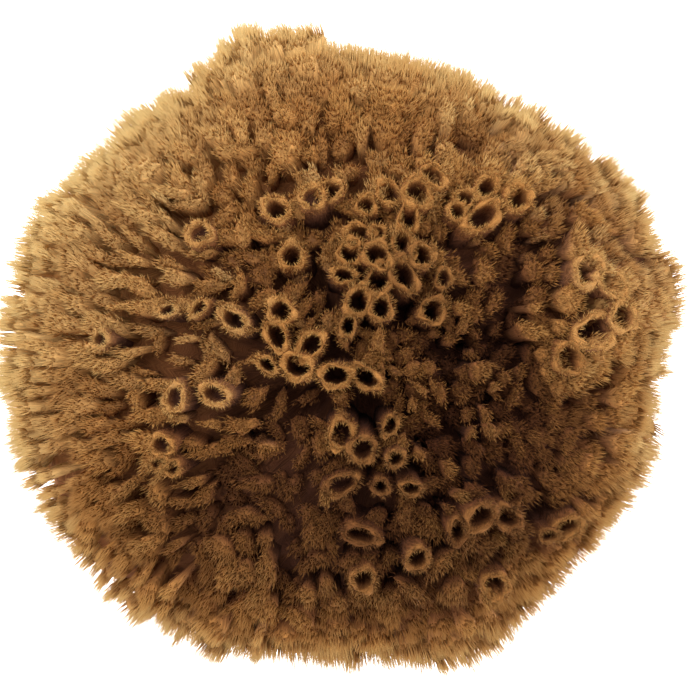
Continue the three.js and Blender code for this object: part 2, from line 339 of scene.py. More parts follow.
# the ring at the cut stays flat
heart_rings[1:] += (
    (HEART_KNOB * knobs(heart_rings[1:]))[..., None] * unit(heart_rings[1:] - BUN_MIDDLE))
heart_points = np.concatenate([
    [[0, 0, 0]], heart_rings.reshape(-1, 3), [[0, 0, CROWN_HEIGHT - HEART_DEPTH]],
])
heart_item = np.arange(len(heart_points))
heart_felt = felted(heart_points)
heart_low = np.clip((WAIST_HEIGHT - heart_points[:, 2]) / LOW_BAND, 0, 1)
# painted light under the lit, felted upper left, painted shade under the coral, and lighter below the
# waist
heart_tone = np.maximum(
    HEART_TONE - HEART_CORAL_TONE * coral(heart_points) + HEART_FELT_TONE * heart_felt,
    HEART_LOW_TONE * heart_low)
heart_deep = np.maximum(HEART_FELT_SHADE * heart_felt, HEART_LOW_SHADE * heart_low)
heart_place = np.stack([
    heart_tone + HEART_TONE_RANGE * chance(heart_item, 31),
    HEART_SHADE + heart_deep + HEART_SHADE_RANGE * chance(heart_item, 32),
], axis=1)
heart = add_piece(
    "heart", heart_points, ring_triangles(len(heart_rings), HEART_SIDES), heart_place, flesh)
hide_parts("sponge")


# The outlet tubes: the mouths that the living sponge blew its water out of, open pipes of the
# same fibre with thick ragged walls, rooted in the heart. Some stand in one cluster on the crown,
# and the others alone or in twos and threes.

# walls, and how much thicker they are on the swell
TUBE_WALL = 1.9
PORE_WALL = 1.3
SWELL_WALL = 1.0
SWELL_TUBES = (60, 9, 12)
# how long a tube is, how far it sinks, and which way it points
TUBE_LENGTH = 24.0
TUBE_SIDES = 16
TUBE_SINK = 1.0
MOUTH_SINK = 0.4
TUBE_STEP = 3.0
GROWTH_FAN = 0.6
NORMAL_STEP = 0.5
TUBE_UPRIGHT = 0.3
RIM_UPRIGHT = 0.4
# how far a mouth is from round and level
TUBE_FLATNESS = 0.28
MOUTH_SLANT = 0.6
# where the old tubes begin on the left, and how shallow a bore can be
OLD_FROM = 20.0
OLD_BAND = 15.0
OLD_SHALLOW = 0.9
DISH_LEVEL = 0.9
DISH_SHALLOW = 0.85
# tones of the sponge and of its columns
MIDDLE_TONE = 0.47
# painted light: the sponge is paler towards its rim, where the light table glows behind it
PAINTED_RIM_TONE = 0.27
TONE_LIMITS = (0.05, 0.95)
TUBE_TONE_RANGE = 0.12
ROUND_TONE = 0.1
MOTTLE = 0.03
CAP_MOTTLE = 0.06
# painted shade: the point closing each column is darker, at a bore's blind end and at a tuft's end
CAP_SHADE = 0.75
# [x, y, bore] of each tube
TUBES = np.array([
    # the cluster on the crown
    [2, 12, 2.2], [7.5, 10.3, 1.7], [7, 17.2, 2.5], [13, 18.6, 2.7], [0, 24, 1.8],
    [6.6, 23.1, 2.1], [13, 25.7, 2.2], [17.5, 23.1, 1.7], [2.1, 28, 2.1], [9.5, 38.4, 1.9],
    [16.4, 38.4, 2.6], [14.3, 32.4, 2], [20.3, 42.5, 1.9],
    # up and to the right of it
    [32.5, 32.7, 3], [33.4, 39.8, 1.6], [41.2, 37.3, 2.1], [20.3, 9.7, 1.9],
    # on the swell at the right
    [58.3, 19.4, 2.2], [64, 16.4, 2], [60.2, 4.5, 3], [53.7, -2.2, 2.2],
    # left of the cluster
    [-5.1, 39, 1.5], [-9.1, 37.3, 1.5], [-18.1, 34.3, 1.7], [-16.9, 9.5, 1.9], [-18, 3.4, 2],
    [-9.7, 1, 2.2], [-12.9, -4, 2.3], [-3.5, -6.3, 2.2], [3.9, -6.7, 2], [-28.4, 7.3, 1.7],
    [-36.8, 28.4, 1.7], [-42.8, -11.7, 1.7], [-33, -10.8, 1.9], [-46, -23.3, 1.5],
    # below the cluster
    [-2.1, -20.7, 2.2], [3.1, -24.3, 2], [-2.1, -32.9, 2.2], [31.9, -40.9, 2.5],
    [38.8, -41.1, 1.9], [26.5, -44.1, 1.7], [2.7, -45.2, 2.3], [53.7, -43.9, 1.7],
    [35.8, -58.3, 2.1], [3.3, -56.4, 1.9], [16.5, -51, 1.7],
])
# [x, y, bore] of the smaller mouths among them, with thinner walls
PORES = np.array([
    [-0.5, 6, 1.6], [-1.6, 18.3, 1.6], [3.9, 35.4, 1.6], [6.7, 28.5, 1.2], [22.8, 17.5, 1.4],
    [26.2, 33.9, 1.5], [28.2, 37.3, 1.5], [67, 8, 2.2], [-14.3, 23.1, 2.4], [-20.2, -3.6, 1.4],
    [11.1, -26.4, 1.4], [9.8, -18.6, 1.4], [14.8, -33.7, 1.4], [7.5, -33.3, 1.2],
    [49.1, -45.8, 1.2], [-61, 2.7, 1.4], [-36.8, 10.2, 1.2], [-44.5, 9.7, 1.2],
    [-46.7, -27.7, 1.2], [-43.7, -28.7, 1.2],
])
# [x, y, radius, amount] of painted shade, where the dome lies in shade towards its lower side and
# right
# negative amounts are painted light, as on the lit upper left and on the swell at the right
PAINTED_LIGHT_AND_SHADE = np.array([
    [-10, 36, 10, -0.06], [-37, -12, 10, -0.1], [-48, -48, 26, 0.22],
    [5, -46, 36, 0.42], [46, -48, 22, 0.28], [44, -4, 26, 0.42], [14, 16, 18, 0.2],
    [-70, 54, 34, -0.26], [60, 8, 16, -0.25], [-44, 2, 24, -0.12], [-62, -52, 22, 0.12],
    [2, -12, 14, -0.07],
])


def fan_direction(point, normal):
    """Which way growth points: part way from the skin's normal to straight away from the middle."""
    return unit(normal + (unit(point - BUN_MIDDLE) - normal) * GROWTH_FAN)


def dome_normal(x, y):
    """Normal of the dome's skin above a point in plan, from its rise over a short step outwards."""
    out = np.maximum(np.hypot(x, y), NORMAL_STEP)
    further = out + NORMAL_STEP
    rise = dome_height(x * further / out, y * further / out) - dome_height(x, y)
    return unit(np.stack([-rise * x / out, -rise * y / out, np.full_like(x, NORMAL_STEP)], axis=1))


def across(axes):
    """Two directions square to each axis and to each other, right-handed with it."""
    helper = np.where(np.abs(axes[:, 2:]) < 0.9, [[0.0, 0.0, 1.0]], [[1.0, 0.0, 0.0]])
    one = unit(np.cross(helper, axes))
    return one, np.cross(axes, one)


def lobe_wave(turn, item, step):
    """Waves round a column: three lobes and five lower ones, turned by chance for each column and
    twisted against each other from ring to ring."""
    three = np.sin(3 * turn + 6.3 * chance(item, 11) + 0.5 * step)
    five = np.sin(5 * turn + 6.3 * chance(item, 12) - 0.7 * step)
    return three + 0.7 * five


def columns(root, axis, length, one, two, profile, lump, bend, sides):
    """Turned columns, one for each root: rings that follow the profile along the axis, spread by
    the two half widths, with lobed sides and an axis bent by a parabola. Points, and how far
    round each side is."""
    count = len(root)
    item = np.arange(count)[:, None, None]
    wide, along = profile[..., 0, None], profile[..., 1, None]
    turn = np.arange(sides) / sides * 2 * np.pi
    step = np.arange(len(lump))[:, None]
    lobes = wide * (1 + lump[None, :, None] * lobe_wave(turn, item, step))
    rise = along * length[:, None, None]
    middle = root[:, None, None, :] + axis[:, None, None, :] * rise[..., None]
    middle = middle + bend[:, None, None, :] * (along ** 2)[..., None]
    rings = middle + (lobes * np.cos(turn))[..., None] * one[:, None, None, :]
    rings = rings + (lobes * np.sin(turn))[..., None] * two[:, None, None, :]
    ends = np.broadcast_to(middle, (count, profile.shape[-2], 1, 3))
    points = np.concatenate(
        [ends[:, :1, 0], rings.reshape(count, -1, 3), ends[:, -1:, 0]], axis=1)
    around = np.abs(2 * np.arange(sides) / sides - 1)
    return points, around


def repeated(triangles, count, size):
    """The triangles of one shape, repeated for count shapes of size points each."""
    return (triangles[None] + size * np.arange(count)[:, None, None]).reshape(-1, 3)


def placed(tone, depth, around, count):
    """(tone, depth) of columns: the tone shifts a little round each ring and by chance from point
    to point, so that streaks and mottles show."""
    rings = depth.shape[-1]
    sides = len(around)
    u = tone[:, None, None] + ROUND_TONE * np.broadcast_to(around, (count, rings, sides))
    u = u + MOTTLE * chance(np.arange(u.size).reshape(u.shape), 29)
    v = np.broadcast_to(depth[..., None], (count, rings, sides))
    body = np.stack([u, v], axis=-1).reshape(count, -1, 2)
    cap = body[:, -1:] * [1.0, CAP_SHADE] + [CAP_MOTTLE, 0.0]
    return np.concatenate([body[:, :1], body, cap], axis=1).reshape(-1, 2)


def tone_at(points):
    """How light the sponge is painted: painted light at the rim, less a bell of painted shade per
    patch.
    """
    share = np.hypot(points[:, 0], points[:, 1]) / MEAN_REACH
    sx, sy, radius, amount = PAINTED_LIGHT_AND_SHADE.T
    near = ((points[:, :1] - sx) ** 2 + (points[:, 1:2] - sy) ** 2) / radius ** 2
    painted_shade = (amount * np.exp(-near)).sum(axis=1)
    return np.clip(MIDDLE_TONE + PAINTED_RIM_TONE * share ** 4 - painted_shade, *TONE_LIMITS)


all_tubes = np.concatenate([TUBES, PORES])
tube_wall = np.concatenate([np.full(len(TUBES), TUBE_WALL), np.full(len(PORES), PORE_WALL)])
tube_x, tube_y, tube_bore = all_tubes.T
tube_wall = tube_wall + SWELL_WALL * bell(all_tubes, *SWELL_TUBES)
tube_item = np.arange(len(all_tubes))
tube_mouth = np.stack([tube_x, tube_y, dome_height(tube_x, tube_y)], axis=1)
tube_axis = fan_direction(tube_mouth, dome_normal(tube_x, tube_y))
tube_upright = TUBE_UPRIGHT + RIM_UPRIGHT * (np.hypot(tube_x, tube_y) / MEAN_REACH)[:, None] ** 2
tube_axis = unit(tube_axis + (np.array([0.0, 0.0, 1.0]) - tube_axis) * tube_upright)
tube_mouth[:, 2] -= (
    TUBE_SINK + MOUTH_SINK * hollow_depth(tube_x, tube_y) + TUBE_STEP * chance(tube_item, 7))
tube_outer = tube_bore + tube_wall
tube_length = np.full(len(all_tubes), TUBE_LENGTH)
# outer wall up to a rounded rim, then down the bore to its blind end: [share of radius, of length]
TUBE_PROFILE = np.array([
    [1.15, 0.0], [1.1, 0.35], [1.04, 0.7], [0.98, 0.88], [0.92, 0.96], [0.82, 0.975], [0.72, 0.96],
    [0.64, 0.9], [0.6, 0.7], [0.45, 0.35],
])
# depth of colour: palest at the rim and darker down the bore, partly own brown, partly painted shade
TUBE_DEPTH = np.array([0.0, 0.05, 0.2, 0.45, 0.65, 0.72, 0.68, 0.55, 0.35, 0.1])
TUBE_LUMP = np.array([0.03, 0.05, 0.07, 0.1, 0.13, 0.13, 0.12, 0.08, 0.06, 0.03])
TUBE_RAGGED = np.array([0.0, 0.0, 0.0, 0.6, 1.5, 1.8, 1.5, 0.8, 0.0, 0.0])
tube_flat = TUBE_FLATNESS * chance(tube_item, 23)
tube_twist = 2 * np.pi * chance(tube_item, 24)[:, None]
one, two = across(tube_axis)
tube_one = np.cos(tube_twist) * one + np.sin(tube_twist) * two
tube_two = np.cross(tube_axis, tube_one) * (tube_outer * (1 - tube_flat))[:, None]
tube_one = tube_one * (tube_outer * (1 + tube_flat))[:, None]
# slanted mouths
tube_slant = MOUTH_SLANT * tube_outer
tube_one = tube_one + tube_axis * (tube_slant * (chance(tube_item, 26) - 0.5))[:, None]
tube_two = tube_two + tube_axis * (tube_slant * (chance(tube_item, 27) - 0.5))[:, None]
# bores end at their own depths: some are shallow dishes, as are the old ones on the left
tube_old = np.clip((-tube_x - OLD_FROM) / OLD_BAND, 0, 1)
tube_shallow = DISH_SHALLOW * np.maximum(chance(tube_item, 25) ** 4, OLD_SHALLOW * tube_old)
tube_profile = np.repeat(TUBE_PROFILE[None], len(all_tubes), axis=0)
tube_profile[:, -2:, 1] += (DISH_LEVEL - TUBE_PROFILE[-2:, 1]) * tube_shallow[:, None]
tube_points, tube_around = columns(
    tube_mouth - tube_axis * TUBE_LENGTH, tube_axis, tube_length, tube_one, tube_two, tube_profile,
    TUBE_LUMP, np.zeros_like(tube_mouth), TUBE_SIDES)
# ragged rims: each point of them is moved along the tube by chance
ragged = chance(np.arange(tube_points[..., 0].size).reshape(tube_points.shape[:2]), 33) - 0.5
ragged[:, 1:-1] *= np.repeat(TUBE_RAGGED, TUBE_SIDES)
tube_points[:, 1:-1] += ragged[:, 1:-1, None] * tube_axis[:, None]
tube_tone = tone_at(tube_mouth) + TUBE_TONE_RANGE * (chance(tube_item, 21) - 0.5)
add_piece(
    "outlet_tubes", tube_points.reshape(-1, 3),
    repeated(ring_triangles(len(TUBE_PROFILE), TUBE_SIDES), len(all_tubes), tube_points.shape[1]),
    placed(tube_tone, np.repeat(TUBE_DEPTH[None], len(all_tubes), axis=0), tube_around,
           len(all_tubes)), flesh)


# The tufts: short flattened columns of matted fibre that stand on the heart and fan out like a
# brush. They grew in lobes and lean together in each, with deeper gaps from lobe to lobe.

# how many lobes there are, how they lean, and how they draw tufts in and down
DOME_LOBES = 123
LOBE_SIDE_DENSITY = 0.36
LOBE_TURN = 0.15
LOBE_LEAN = 0.16
LOBE_REACH = 9.5
LOBE_EDGE = 1.5
LOBE_DROP = 4.0
LOBE_PULL = 0.12
# how many tufts and sprigs there are, and how they stand
DOME_TUFTS = 820
SPRIGS = 1900
SPRIG_SHARE = 0.55
TUFT_SIDE_DENSITY = 1.0
TUFT_TURN = 0.015
TUFT_SWAY = 0.3
TUFT_CURL = 1.5
TUFT_UPRIGHT = 0.9
SKIN_STEPS = 90
GOLDEN_ANGLE = np.pi * (3 - np.sqrt(5))
# the size of a tuft, which is larger below the widest part
TUFT_LENGTH = 24.0
TUFT_SIDES = 8
TUFT_RADIUS = 2.7
SPRIG_RADIUS = 1.9
RADIUS_LEAST = 0.7
RADIUS_RANGE = 0.65
LOOSE_GROWTH = 0.95
FELT_GROWTH = 0.1
FELT_STALK = 0.35
SIDE_HEIGHT = 33.0
SIDE_GROWTH = 1.2
# how flat and how twisted it is, and the blades among those on the left
TUFT_FLATNESS = 0.5
TUFT_TWIST = 2.4
BLADE_FLATNESS = 0.35
BLADE_RANGE = 0.25
BLADE_TWIST = 0.5
BLADES_FROM = 15.0
BLADES_BAND = 40.0
BLADES_MOST = 0.8
# how far tips fall short of the skin
TIP_STRAY = 5.0
TUFT_STRAY = 8.0
SUNK_LEAST = 0.35
SPRIG_RISE = 7.0
TUFT_DEEPEST = 10.0
WAIST_DEEPEST = 3.5
# how much of the stray is lost where the growth is felted, at the waist and below it
FELT_EVENS = 0.6
WAIST_EVENS = 0.78
SIDE_EVENS = 0.8
TRIM = 0.7
TRIM_BAND = 14.0
# how much further tips reach at the waist, and how much longer their brushes are
WAIST_BAND = 16.0
WAIST_REACH = 1.8
WAIST_BRUSH = 0.1
# the tufts that wrap a tube, and the room that is left for bores and pits
COLLAR = 7.0
COLLAR_RISE = 14.0
COLLAR_SHORT = 0.5
COLLAR_STRAY = 2.5
BORE_ROOM = 1.6
PIT_ROOM = 0.5
# tones of tufts; darker when short, painted shade; paler when felted or at the rim, painted light
TUFT_TONE_RANGE = 0.16
SPRIG_TONE = 0.2
FELT_SHADE = 0.04
SHADE_FROM = 3.0
SHADE_BAND = 22.0
SHADE_MOST = 0.6
PAINTED_FELT_PALE = 0.52
PAINTED_RIM_PALE = 0.26
# [x, y, radius] of the pits that stay open between the tufts
PITS = np.array([
    [-7, 16.5, 3.2], [14.5, 12, 2.8], [4, -13, 3.2], [4.5, -17.5, 3], [-12.5, -10, 2.2],
    [25, -1, 2.6], [32, -12, 2.6], [42, 17, 3], [41, 4, 2.6], [27.5, 25, 2.2],
])
# [share of radius, share of length]: a column that flares to a blunt ragged end
TUFT_PROFILE = np.array([[0.5, 0.0], [0.6, 0.6], [1.0, 0.82], [0.5, 0.88]])
# [share of length, depth]: dark from the root up and pale only at the tip
# the dark from the root up is partly the sponge's own brown and partly painted shade among the tufts
TUFT_DEPTH = np.array([[0.0, 0.0], [0.62, 0.1], [0.8, 0.35], [0.9, 0.68], [1.0, 1.0]])
TUFT_LUMP = np.array([0.05, 0.12, 0.2, 0.2])


def spread_on_skin(dome_count, side_density, turn):
    """Points and normals on the skin by a golden spiral, each with an equal share of its area,
    which counts for side_density below the waist. Also whether each is above it."""
    share, height = half_profile(SKIN_STEPS)
    density = np.where(np.arange(len(share)) < SKIN_STEPS, 1.0, side_density)
    width = np.hypot(np.diff(share) * MEAN_REACH, np.diff(height))
    area = np.concatenate([[0], np.cumsum(width * (share[:-1] + share[1:]) * density[1:])])
    count = int(round(dome_count * area[-1] / area[SKIN_STEPS]))
    item = np.arange(count)
    wanted = area[-1] * (item + 0.5) / count
    after = np.searchsorted(area, wanted)
    azimuth = item * GOLDEN_ANGLE + turn * (2 * chance(item, 1) - 1)
    out = np.interp(wanted, area, share) * reach_at(azimuth)
    flat = np.stack([np.cos(azimuth), np.sin(azimuth), np.zeros(count)], axis=1)
    point = flat * out[:, None]
    point[:, 2] = np.interp(wanted, area, height)
    normal = flat * (height[after - 1] - height[after])[:, None]
    normal[:, 2] = (share[after] - share[after - 1]) * MEAN_REACH
    return item, point, unit(normal), after < SKIN_STEPS


def waist_trim(points):
    """Share of the stray that tips keep: little at the waist, where they make an even outline."""
    return 1 - TRIM * np.exp(-((points[:, 2] - WAIST_HEIGHT) / TRIM_BAND) ** 2)


def depth_at(level, pale):
    """Depth of colour along a tuft, from its root at 0 to its tip at 1: steps along TUFT_DEPTH,
    drawn towards the tip's colour by how pale the tuft is."""
    depth = np.interp(level, *TUFT_DEPTH.T)
    return depth + (1 - depth) * pale


def gaps_to(points, centres, radii):
    """Distance in plan from each point to each circle: that to its centre, less its radius."""
    return np.hypot(*(points[:, None, :2] - centres[None, :, :2]).transpose(2, 0, 1)) - radii


lobe_item, lobe_point, lobe_normal, _ = spread_on_skin(DOME_LOBES, LOBE_SIDE_DENSITY, LOBE_TURN)
lobe_axis = fan_direction(lobe_point, lobe_normal)
lobe_axis[:, 0] += LOBE_LEAN * (2 * chance(lobe_item, 2) - 1)
lobe_axis[:, 1] += LOBE_LEAN * (2 * chance(lobe_item, 3) - 1)
lobe_axis = unit(lobe_axis)
lobe_short = TIP_STRAY * chance(lobe_item, 4) ** 2 * waist_trim(lobe_point)

# large tufts all over, and small sprigs between those that look like coral
tuft_sets = [spread_on_skin(count, TUFT_SIDE_DENSITY, TUFT_TURN) for count in (DOME_TUFTS, SPRIGS)]
tuft_item, tuft_point, tuft_normal, tuft_on_dome = (np.concatenate(both) for both in zip(*tuft_sets))
tuft_sprig = np.arange(len(tuft_item)) >= len(tuft_sets[0][0])
tuft_item = np.arange(len(tuft_item))
grown = ~tuft_sprig | (chance(tuft_item, 30) < SPRIG_SHARE * coral(tuft_point)) & tuft_on_dome
tuft_item, tuft_point, tuft_normal, tuft_on_dome, tuft_sprig = (
    every[grown] for every in (tuft_item, tuft_point, tuft_normal, tuft_on_dome, tuft_sprig))
from_lobe = np.linalg.norm(tuft_point[:, None] - lobe_point[None], axis=2)
lobe_of = from_lobe.argmin(axis=1)
from_lobe = from_lobe.min(axis=1)
tuft_axis = unit(fan_direction(tuft_point, tuft_normal) + lobe_axis[lobe_of])
tuft_axis = unit(tuft_axis + TUFT_SWAY * (np.stack(
    [chance(tuft_item, k) for k in (2, 3, 4)], axis=1) - 0.5))
tuft_share = np.hypot(tuft_point[:, 0], tuft_point[:, 1]) / MEAN_REACH
tuft_axis[:, 2] += np.where(tuft_on_dome, TUFT_UPRIGHT * np.clip(1 - tuft_share ** 2, 0, 1), 0)
tuft_axis = unit(tuft_axis)
# tips lie evenly on the fluffy upper left and fall short unevenly towards the crown and right
evenness = felted(tuft_point)
at_waist = np.exp(-((tuft_point[:, 2] - WAIST_HEIGHT) / WAIST_BAND) ** 2)
loose = (1 - FELT_EVENS * evenness) * (
    1 - np.where(tuft_on_dome, WAIST_EVENS * at_waist, SIDE_EVENS))
tuft_short = lobe_short[lobe_of] + loose * (
    LOBE_DROP * np.minimum(LOBE_EDGE, from_lobe / LOBE_REACH) ** 2
    + TUFT_STRAY * chance(tuft_item, 8) ** 1.5)
tuft_sunk = hollow_depth(tuft_point[:, 0], tuft_point[:, 1]) * tuft_on_dome
tuft_short = tuft_short + tuft_sunk * (SUNK_LEAST + (1 - SUNK_LEAST) * chance(tuft_item, 20))
tuft_short = tuft_short + np.where(tuft_sprig, 0, SPRIG_RISE * coral(tuft_point) * tuft_on_dome)
# none sinks into the heart, which lies nearer to the skin at the waist
tuft_short = np.minimum(tuft_short, TUFT_DEEPEST + np.maximum(0, tuft_sunk) * (1 - at_waist)
                        - (TUFT_DEEPEST - WAIST_DEEPEST) * at_waist)
pulled = (lobe_point[lobe_of] - tuft_point) * (LOBE_PULL * loose)[:, None]
tuft_short = tuft_short - WAIST_REACH * at_waist
tuft_tip = tuft_point + pulled - tuft_axis * tuft_short[:, None]
# those next to a tube stand as high as its mouth, and wrap it
beside = gaps_to(tuft_tip, tube_mouth, tube_outer)
next_tube = beside.argmin(axis=1)
collar = np.clip(1 - beside.min(axis=1) / COLLAR, 0, 1) * tuft_on_dome
collar_top = tube_mouth[next_tube, 2] - COLLAR_SHORT - COLLAR_STRAY * chance(tuft_item, 28)
below_mouth = collar_top - tuft_tip[:, 2]
raised = collar * np.where(below_mouth < COLLAR_RISE, np.maximum(0, below_mouth), 0)
tuft_tip[:, 2] += raised
tuft_short -= raised
clear = gaps_to(tuft_tip, tube_mouth, tube_bore).min(axis=1) > BORE_ROOM
clear &= gaps_to(tuft_tip, PITS, PITS[:, 2]).min(axis=1) > PIT_ROOM
clear |= ~tuft_on_dome
tuft_tip, tuft_axis, tuft_short, tuft_share, tuft_sprig, evenness, at_waist = (
    every[clear] for every in (
        tuft_tip, tuft_axis, tuft_short, tuft_share, tuft_sprig, evenness, at_waist))

tuft_item = np.arange(len(tuft_tip))
tuft_radius = np.where(tuft_sprig, SPRIG_RADIUS, TUFT_RADIUS * (LOOSE_GROWTH + FELT_GROWTH * evenness))
tuft_radius = tuft_radius * (RADIUS_LEAST + RADIUS_RANGE * chance(tuft_item, 9))
tuft_radius = tuft_radius * np.where(tuft_tip[:, 2] < SIDE_HEIGHT, SIDE_GROWTH, 1.0)
# many on the left are flat blades that stand across the others
blade = chance(tuft_item, 14) < np.clip((-tuft_tip[:, 0] - BLADES_FROM) / BLADES_BAND, 0, BLADES_MOST)
flat_range = np.where(blade, BLADE_RANGE, TUFT_FLATNESS)
tuft_flat = np.where(blade, BLADE_FLATNESS, 0.0) + flat_range * chance(tuft_item, 10)
twist_range = np.where(blade, BLADE_TWIST, TUFT_TWIST)
tuft_twist = np.where(blade, np.pi / 2, 0.0) + twist_range * (chance(tuft_item, 13) - 0.5)
tuft_twist = tuft_twist[:, None]
one, two = across(tuft_axis)
tuft_one = np.cos(tuft_twist) * one + np.sin(tuft_twist) * two
tuft_two = np.cross(tuft_axis, tuft_one) * (tuft_radius * (1 - tuft_flat))[:, None]
tuft_one = tuft_one * (tuft_radius * (1 + tuft_flat))[:, None]
tuft_length = np.full(len(tuft_tip), TUFT_LENGTH)
tuft_bend = unit(np.stack([chance(tuft_item, k) - 0.5 for k in (16, 17, 18)], axis=1)) * TUFT_CURL
tuft_root = tuft_tip - tuft_axis * TUFT_LENGTH - tuft_bend
tuft_profile = np.repeat(TUFT_PROFILE[None], len(tuft_tip), axis=0)
tuft_profile[:, :2, 0] += FELT_STALK * evenness[:, None]
tuft_profile[:, 2:, 1] -= WAIST_BRUSH * at_waist[:, None]
tuft_points, tuft_around = columns(
    tuft_root, tuft_axis, tuft_length, tuft_one, tuft_two, tuft_profile, TUFT_LUMP,
    tuft_bend, TUFT_SIDES)
tuft_points[..., 2] = np.maximum(tuft_points[..., 2], 0.0)
tuft_tone = (tone_at(tuft_tip) + TUFT_TONE_RANGE * (chance(tuft_item, 22) - 0.5)
             + SPRIG_TONE * tuft_sprig)
# painted shade: a tuft whose tip falls short, deep among the others, is coloured darker
tuft_shade = np.clip((tuft_short - SHADE_FROM) / SHADE_BAND, 0, SHADE_MOST)
tuft_high = (1 - tuft_shade) * (1 - FELT_SHADE * evenness)
# painted light: tufts are paler on the lit, felted upper left and at the rim, where the table glows
# behind
tuft_painted_pale = PAINTED_FELT_PALE * evenness ** 0.8 + PAINTED_RIM_PALE * np.clip(tuft_share, 0, 1) ** 4
tuft_place = placed(
    tuft_tone, depth_at(TUFT_PROFILE[None, :, 1], tuft_painted_pale[:, None]) * tuft_high[:, None],
    tuft_around, len(tuft_tip))
add_piece(
    "tufts", tuft_points.reshape(-1, 3),
    repeated(ring_triangles(len(TUFT_PROFILE), TUFT_SIDES), len(tuft_tip), tuft_points.shape[1]),
    tuft_place, flesh)


# The fibres: the tough springy skeleton that is all that is left of the sponge. Each tuft ends in
# a blunt brush of them, nearly parallel, with others that lie along its sides.

# how many fibres a tuft has for each square millimetre of its radius squared
DOME_FIBRES = 21.5
SIDE_FIBRES = 7.0
SPRIG_FIBRES = 1.3
# how thick and how long a fibre is, and how far its tip strays
FIBRE_WIDTH = 0.27
WIDTH_RANGE = (0.7, 1.3)
FIBRE_LENGTH = (1.4, 2.8)
FIBRE_STRAY = 0.35
LOWEST_FIBRE = 0.2
# the share of fibres along the flanks, and where on the tuft their tips are
FLANK_SHARE = 0.15
FLANK_MORE = 0.3
FLANK_LEVEL = (0.7, 0.96)
FLANK_LONGER = 0.35
# where the tips of the others are, and how they spread
END_LEVEL = 0.98
END_STRAY = 0.022
END_ROUND = 0.03
BRISTLE = 0.1
SPLAY = 1.2
WAIST_GATHER = 0.1
# how light roots are, and the tone of painted light on the waist's fibres, lit through from behind
ROOT_LIGHT = 0.3
PAINTED_GLOW_TONE = 0.2
FIBRE_TONE_STRAY = 0.015
FIBRE_TONES = (0.02, 0.98)
fibre = sponge_material("sponge_fibre", streak=0.4, relief=0.0)
rng = np.random.default_rng(7)


def spikes(base, tip, width, tone, painted_glow, low, top):
    """Closed three-sided spikes from each base to each tip: three points round the base, one tip.
    Points, triangles and places."""
    count = len(base)
    base[:, 2] = np.maximum(base[:, 2], LOWEST_FIBRE)
    tip[:, 2] = np.maximum(tip[:, 2], LOWEST_FIBRE)
    one, two = across(unit(tip - base))
    turn = rng.uniform(0, 2 * np.pi, count)[:, None] + np.arange(3) * 2 * np.pi / 3
    ring = (np.cos(turn)[..., None] * one[:, None] + np.sin(turn)[..., None] * two[:, None])
    points = np.concatenate(
        [base[:, None] + ring * (width / 2)[:, None, None], tip[:, None]], axis=1)
    one_spike = np.array([[0, 2, 1], [0, 1, 3], [1, 2, 3], [2, 0, 3]])
    place = np.empty((count, 4, 2))
    place[..., 0] = np.clip(tone + rng.normal(0, FIBRE_TONE_STRAY, count), *FIBRE_TONES)[:, None]
    # painted light: a glowing fibre's tip is drawn towards the palest tone
    place[:, 3, 0] += painted_glow * (FIBRE_TONES[1] - place[:, 3, 0])
    place[:, :3, 1] = low[:, None]
    place[:, 3, 1] = np.clip(top, 0, 1)
    return points.reshape(-1, 3), repeated(one_spike, count, 4), place.reshape(-1, 2)


def tuft_fibres(of):
    """A fibre for each tuft named. Most fill its blunt end evenly with their tips, and the rest
    stand along its flanks: more of these the closer the felt, or the further the tuft lies over."""
    count = len(of)
    lying = np.where(tuft_tip[of, 2] > SIDE_HEIGHT, 1 - tuft_axis[of, 2], 0)
    flank = rng.random(count) < FLANK_SHARE + FLANK_MORE * np.maximum(evenness[of], lying)
    turn = rng.uniform(0, 2 * np.pi, count)
    lobed = 1 + TUFT_LUMP[2] * lobe_wave(turn, of, step=2)
    share = np.where(flank, 1.0, np.sqrt(rng.random(count)))
    flank_level = rng.uniform(FLANK_LEVEL[0] - FLANK_LONGER * lying, FLANK_LEVEL[1])
    end_level = (END_LEVEL + rng.normal(0, END_STRAY, count) - END_ROUND * share ** 2
                 + BRISTLE * at_waist[of] * rng.random(count) ** 3)
    level = np.where(flank, flank_level, end_level)
    length = rng.uniform(*FIBRE_LENGTH, count)
    # roots start on the tuft's rounded end, or on its side where that is lower
    root_level = np.minimum(level - length / TUFT_LENGTH,
                            np.interp(share, TUFT_PROFILE[:1:-1, 0], TUFT_PROFILE[:1:-1, 1]))
    root_level = root_level - WAIST_BRUSH * at_waist[of]
    root_share = np.minimum(share, np.interp(root_level, TUFT_PROFILE[:3, 1], TUFT_PROFILE[:3, 0]))
    radial = np.cos(turn)[:, None] * tuft_one[of] + np.sin(turn)[:, None] * tuft_two[of]
    tip_share = (SPLAY - WAIST_GATHER * at_waist[of]) * share
    base, tip = (tuft_root[of] + tuft_axis[of] * (TUFT_LENGTH * high)[:, None]
                 + tuft_bend[of] * (high ** 2)[:, None] + radial * (lobed * wide)[:, None]
                 for high, wide in ((root_level, root_share), (level, tip_share)))
    tip = tip + rng.normal(0, FIBRE_STRAY, (count, 3))
    top = depth_at(level, tuft_painted_pale[of]) * tuft_high[of]
    low = depth_at(root_level, tuft_painted_pale[of]) * tuft_high[of]
    low = low + ROOT_LIGHT * (top - low)
    width = FIBRE_WIDTH * rng.uniform(*WIDTH_RANGE, count)
    # painted light: fibres at the waist are paler towards their tips, where the light table shines
    # through
    painted_glow = at_waist[of] * rng.random(count) ** 0.7
    top = top + painted_glow * (1 - top)
    return spikes(base, tip, width, tuft_tone[of] + PAINTED_GLOW_TONE * painted_glow, painted_glow, low, top)


